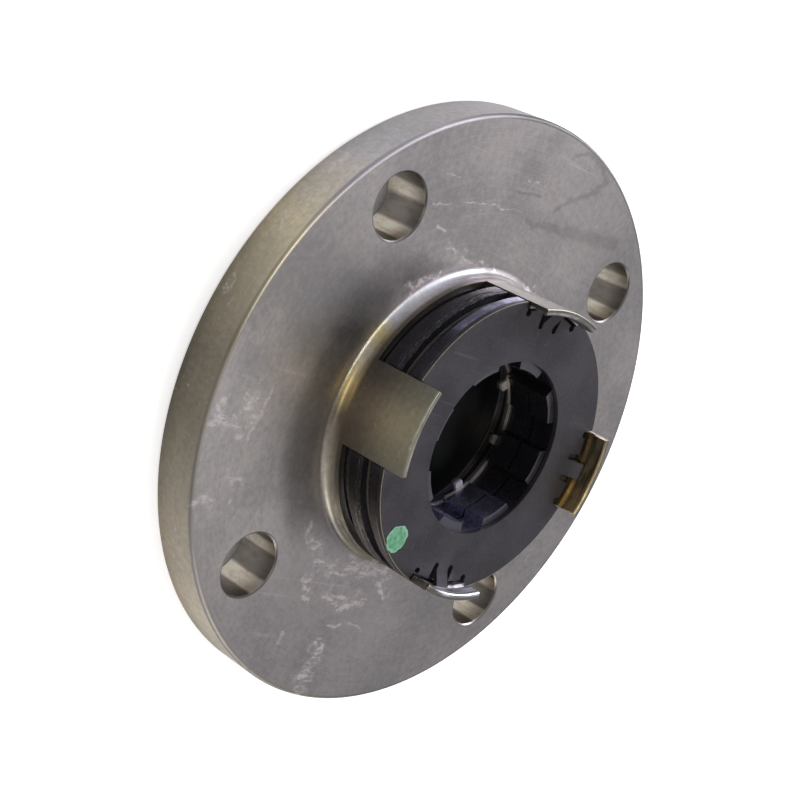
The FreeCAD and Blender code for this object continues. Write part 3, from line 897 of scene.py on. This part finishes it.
def black_material(name, colour, roughness, edge_light):
    """Blackened steel: fine grain, thin dust and handling marks, bare metal at nicks and burrs on the edges,
    painted shade on one side of the outer edges and a painted sheen on the pressure ring.
    """
    material, tree, shader, place = new_material(name)
    radius, turn, height = use(tree, about_axis, {"Place": place})
    cloud = noise(tree, place, 110.0, 4.0, 0.6)
    grain = noise(tree, place, 2600.0, 3.0, 0.65)
    shade = between(tree, weighed(tree, (grain, 0.45), (cloud, 0.55)), 0.35, 0.65, 0.78, 1.25)
    specks = between(tree, noise(tree, place, 800.0, 5.0, 0.8), 0.60, 0.72, 0.0, 0.6)
    scratches = use(tree, fine_scratches, {"Place": place, "Density": 0.3})["Scratches"]
    dust = strongest(tree, specks, times(tree, scratches, 0.35))
    base = blended(tree, dust, tinted(tree, colour, shade), BLACK_DUST)

    # Painted shade on one side of the outer edges, and a painted sheen on the pressure ring's outer edge
    outer = between(tree, radius, 0.02995, 0.03028)
    # Painted shade on one side of the outer edges
    painted_dark_side = times(tree, outer, band(tree, turn, -0.19, -0.05, 0.02))
    base = blended(tree, times(tree, painted_dark_side, 0.85), base, EDGE_PAINTED_SHADE)
    # A painted sheen on the pressure ring's outer wall, on one side
    sheen = times(tree, between(tree, height, 0.0223, 0.0224), below(tree, height, 0.0244, 0.0245),
                  below(tree, turn, -0.39, -0.335), outer, between(tree, cloud, 0.35, 0.6, 0.3, 1.0))
    base = blended(tree, sheen, base, RING_SHEEN)

    # Bare burrs along the seams of the thin plates, and a thin khaki line along the front plate's front edge
    above = calc(tree, "SUBTRACT", height, THIN_START * MM)
    step = calc(tree, "FRACT", calc(tree, "DIVIDE", above, THIN * MM))
    seam = between(tree, calc(tree, "ABSOLUTE", calc(tree, "SUBTRACT", step, 0.5)), 0.34, 0.46)
    uneven = noise(tree, drawn_round(tree, (turn, 130.0), (height, 1500.0)), 1.0, 4.0, 0.7)
    burr = times(tree, seam, between(tree, uneven, 0.48, 0.62))
    nicked = noise(tree, stretched(tree, place, (170.0, 170.0, 2600.0)), 1.0, 3.0, 0.7)
    bare = times(tree, outer, strongest(tree, between(tree, nicked, 0.60, 0.68, 0.0, 0.4), burr),
                 calc(tree, "MULTIPLY_ADD", painted_dark_side, -0.6 * edge_light, edge_light))
    base = blended(tree, bare, base, BARE_EDGE)
    front_line = times(tree, between(tree, radius, 0.03018, 0.03026),
                       between(tree, height, 0.02532, 0.02538), between(tree, grain, 0.35, 0.5, 0.5, 1.0))
    plug(tree, shader, {"Base Color": blended(tree, front_line, base, KHAKI_LINE),
                        "Metallic": times(tree, calc(tree, "SUBTRACT", 1.0, sheen), 0.55),
                        "Roughness": between(tree, cloud, 0.3, 0.7, roughness - 0.06, roughness + 0.06)})
    bumped(tree, shader, 0.22, grain)
    return material


plate_black = black_material("black_plate", BLACK_GLOSSY, 0.27, 0.0)
thin_black = black_material("thin_plate_black", BLACK_GLOSSY, 0.3, 0.9)
plates = [("rear_plate", 16.5, 18.4, PLATE_CHAMFER), ("pressure_ring", 22.3, 24.5, RING_CHAMFER)]
plates += [("thin_plate_%d" % (k + 1), THIN_START + THIN * k, THIN_START + THIN * (k + 1), THIN_CHAMFER)
           for k in range(3)]
for number, (name, low, high, chamfer) in enumerate(plates):
    plate = keyed_plate(name + "_black", low, high, chamfer)
    if name.startswith("thin"):
        ragged(plate, 1.7 * number)
    finished(plate)
    dress(plate, thin_black if name.startswith("thin") else plate_black)
    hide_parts(name)
    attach(plate, "housing")

# Front plate
# The retaining plate is punched from black sheet. At each finger its edge has three lugs, and the
# middle one is bent forward and snaps into the finger's groove, which holds the whole pack.
FRONT_BACK = 24.5
FRONT_FACE = 25.5
FRONT_BORE = 18.1
SIDE_LUG_RADIUS = 28.45
LUG_ANGLE = 5.2
SLOT_WIDTH = 1.3
SLOT_START = 25.55
LUG_BEND = 26.15
LUG_HALF = 1.72
LUG_KNEE = 28.9
LUG_TIP = 29.65
LUG_RISE = 1.55
RELIEF_RADIUS = 0.75
RELIEF_CENTRE = 28.1
RELIEF_ANGLE = 15.4
FRONT_EDGE = 0.12
CUT_LOW = FRONT_BACK - CUT_PAST
CUT_HIGH = FRONT_FACE + CUT_PAST


def slot_tool():
    """Cutter for the slot beside a snap lug, with a round inner end."""
    half = SLOT_WIDTH / 2
    slot = block("slot", (SLOT_START, -half, CUT_LOW), (PLATE_RADIUS + CUT_PAST, half, CUT_HIGH))
    end = turned("slot_end", [(half, CUT_LOW), (half, CUT_HIGH)], SMALL_STEPS, (SLOT_START, 0),
                 closed=False)
    return combine(slot, end, "UNION")


def bend_lug(plate, direction):
    """Draws one snap lug out of the plate's edge: forward to its knee, then flat to its tip."""
    angle = math.radians(direction)
    out = Vector((math.cos(angle), math.sin(angle), 0))
    edit(plate)
    mesh = bmesh.from_edit_mesh(plate.data)
    for face in mesh.faces:
        centre = face.calc_center_median() / MM
        facing = face.normal.dot(out) > 0.99
        face.select_set(facing and abs(centre.dot(out) - LUG_BEND) < 0.05 and
                        abs(centre.cross(out).z) < LUG_HALF / 2)
    bmesh.update_edit_mesh(plate.data)
    to_knee = out * (LUG_KNEE - LUG_BEND) + Vector((0, 0, LUG_RISE))
    for step in (to_knee, out * (LUG_TIP - LUG_KNEE)):
        bpy.ops.mesh.extrude_region_move(TRANSFORM_OT_translate={"value": tuple(step * MM)})
    bpy.ops.object.mode_set(mode="OBJECT")


front = turned("front_plate_black", [(FRONT_BORE, FRONT_BACK), (PLATE_RADIUS, FRONT_BACK),
                                     (PLATE_RADIUS, FRONT_FACE), (FRONT_BORE, FRONT_FACE)])
combine(front, edge_notches(NOTCH_HALF, NOTCH_RADIUS, FRONT_BACK, FRONT_FACE))
combine(front, edge_notches(FINGER_HALF_ANGLE, SIDE_LUG_RADIUS, FRONT_BACK, FRONT_FACE))
lug_gap = block("lug_gap", (LUG_BEND, -LUG_HALF, CUT_LOW), (PLATE_RADIUS + CUT_PAST, LUG_HALF, CUT_HIGH))
combine(front, copies_round(lug_gap, 4))
for side in (-1, 1):
    combine(front, copies_round(slot_tool(), 4, side * LUG_ANGLE))
    relief_angle = math.radians(side * RELIEF_ANGLE)
    relief_place = (RELIEF_CENTRE * math.cos(relief_angle), RELIEF_CENTRE * math.sin(relief_angle))
    relief = turned("relief", [(RELIEF_RADIUS, CUT_LOW), (RELIEF_RADIUS, CUT_HIGH)], SMALL_STEPS,
                    relief_place, closed=False)
    combine(front, copies_round(relief, 4))
for direction in (0, 90, 180, 270):
    bend_lug(front, direction)
break_edges(front, FRONT_EDGE, lambda p: True, sharper_than=35.0)
finished(front)
front_black = black_material("front_plate_black", BLACK, 0.5, 0.25)
dress(front, front_black)
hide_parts("front_plate")
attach(front, "housing")

# Paint mark
# A dab of green paint on the front plate, put on by hand when the damper was set. It is thin, a
# little uneven at its edge and scratched.
DAB_REACH = 27.6
DAB_ANGLE = -39.0
DAB_RADIUS = 2.78
DAB_HEIGHT = 0.05
GREEN = (0.155, 0.46, 0.245, 1.0)
GREEN_DARK = (0.095, 0.30, 0.165, 1.0)
GREEN_LIGHT = (0.33, 0.60, 0.43, 1.0)

dab_angle = math.radians(DAB_ANGLE)
dab_centre = (DAB_REACH * math.cos(dab_angle), DAB_REACH * math.sin(dab_angle))
dab = turned("green_paint", [(DAB_RADIUS, FRONT_FACE), (DAB_RADIUS, FRONT_FACE + DAB_HEIGHT / 2),
                             (DAB_RADIUS * 0.95, FRONT_FACE + DAB_HEIGHT)], 2 * SMALL_STEPS, dab_centre,
             closed=False)
for vertex in dab.data.vertices:
    x, y = vertex.co.x - dab_centre[0] * MM, vertex.co.y - dab_centre[1] * MM
    angle = math.atan2(y, x)
    factor = 1 + 0.035 * math.sin(3 * angle + 1.0) + 0.03 * math.sin(7 * angle) + 0.02 * math.sin(
        13 * angle + 2.0)
    vertex.co.x, vertex.co.y = dab_centre[0] * MM + x * factor, dab_centre[1] * MM + y * factor
finished(dab)
paint, tree, shader, place = new_material("green_paint")
patch = noise(tree, place, 900.0, 4.0, 0.65)
brushing = noise(tree, stretched(tree, place, (500.0, 2200.0, 500.0), (0, 0, 35)), 1.0, 3.0)
green = blended(tree, between(tree, patch, 0.35, 0.6), GREEN_DARK, GREEN)
dab_middle = Vector((dab_centre[0], dab_centre[1], FRONT_FACE + DAB_HEIGHT)) * MM
off_centre = vector_math(tree, "DISTANCE", place, dab_middle)["Value"]
thin_rim = between(tree, calc(tree, "MULTIPLY_ADD", patch, 0.0012, off_centre), 0.0027, 0.0031, 0.0, 0.7)
brushed = strongest(tree, between(tree, brushing, 0.5, 0.75, 0.0, 0.8), thin_rim)
plug(tree, shader, {"Base Color": blended(tree, brushed, green, GREEN_LIGHT), "Roughness": 0.55})
bumped(tree, shader, 0.3, patch)
dress(dab, paint)
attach(dab, "housing")

# Camera, light and floor
# The damper lies on a plain pale floor and is seen from above and to one side, with soft lamps.
EYE = (-39.46, -275.06, 223.56)
EYE_RIGHT = (-0.3907, 0.6159, 0.6842)
EYE_UP = (-0.9138, -0.1693, -0.3693)
LENS = 78.79
SENSOR = 36.0
NEAR_LIMIT = 0.01
FLOOR_SIZE = 4.0
FLOOR_LIFT = 0.7
FLOOR_IN_METAL = 0.05
FLOOR_IN_HOLES = 0.24
COVERED_REACH = 0.0612
ROOM_NEAR = 0.24
ROOM_FAR = 0.46
ROOM_COLOUR = (0.93, 0.94, 1.0, 1.0)
FLOOR_COLOUR = (0.8, 0.8, 0.8, 1.0)

camera_data = bpy.data.cameras.new("camera")
camera = bpy.data.objects.new("camera", camera_data)
bpy.context.collection.objects.link(camera)
right, up = Vector(EYE_RIGHT).normalized(), Vector(EYE_UP)
back = right.cross(up).normalized()
up = back.cross(right)
place = Matrix((right, up, back)).transposed().to_4x4()
place.translation = Vector(EYE) * MM
camera.matrix_world = place
camera_data.lens = LENS
camera_data.sensor_width = SENSOR
camera_data.clip_start = NEAR_LIMIT
bpy.context.scene.camera = camera


def lamp(name, place, target, size, watts, colour=(1.0, 1.0, 1.0)):
    """A soft square lamp that faces a point, in millimetres."""
    data = bpy.data.lights.new(name, "AREA")
    data.shape = "RECTANGLE"
    data.size, data.size_y = size[0] * MM, size[1] * MM
    data.energy = watts
    data.color = colour
    made = bpy.data.objects.new(name, data)
    bpy.context.collection.objects.link(made)
    made.location = Vector(place) * MM
    made.rotation_euler = (made.location - Vector(target) * MM).to_track_quat("Z", "Y").to_euler()
    return made


lamp("overhead", (-40, 60, 600), (0, 0, 10), (200, 200), 0.7)
lamp("window", (-430, 430, 270), (0, 0, 10), (300, 300), 3.0, (0.88, 0.88, 1.0))
lamp("desk_lamp", (60, -420, 330), (0, 0, 10), (90, 90), 0.16, (1.0, 0.82, 0.6))
lamp("low_side", (430, 60, 200), (0, 0, 0), (200, 120), 0.4, (1.0, 0.97, 0.9))

bpy.ops.object.select_all(action="DESELECT")
bpy.ops.mesh.primitive_plane_add(size=FLOOR_SIZE, location=(0, 0, 0))
floor = bpy.context.object
floor.name = "floor"
settle(floor)
floor_material, floor_tree, floor_shader, floor_place = new_material("pale_floor")
rays = floor_tree.nodes.new("ShaderNodeLightPath").outputs
seen = calc(floor_tree, "MULTIPLY_ADD", rays["Is Glossy Ray"], FLOOR_IN_METAL,
            strongest(floor_tree, rays["Is Camera Ray"], rays["Is Transmission Ray"]))
floor_reach = use(floor_tree, about_axis, {"Place": floor_place})["Radius"]
covered = below(floor_tree, floor_reach, COVERED_REACH, COVERED_REACH + 0.001)
lift = add(floor_tree, "ShaderNodeMix", {"Factor": covered, "A": times(floor_tree, seen, FLOOR_LIFT),
                                         "B": times(floor_tree, rays["Is Glossy Ray"], FLOOR_IN_HOLES)})
plug(floor_tree, floor_shader, {"Base Color": FLOOR_COLOUR, "Roughness": 0.9,
                                "Emission Color": (1.0, 1.0, 1.0, 1.0), "Emission Strength": lift["Result"]})
dress(floor, floor_material)

world = bpy.data.worlds.new("soft_room")
world.use_nodes = True
sky = world.node_tree
sky_place = sky.nodes.new("ShaderNodeTexCoord").outputs["Generated"]
direction = add(sky, "ShaderNodeSeparateXYZ", {0: sky_place})
to_window = between(sky, direction["Y"], -0.7, 0.6, ROOM_NEAR, ROOM_FAR)
to_corner = between(sky, direction["X"], -0.15, 0.45, 1.08, 0.62)
plug(sky, sky.nodes["Background"], {"Color": ROOM_COLOUR,
                                    "Strength": times(sky, to_window, to_corner)})
bpy.context.scene.world = world
bpy.context.scene.view_settings.view_transform = "Standard"
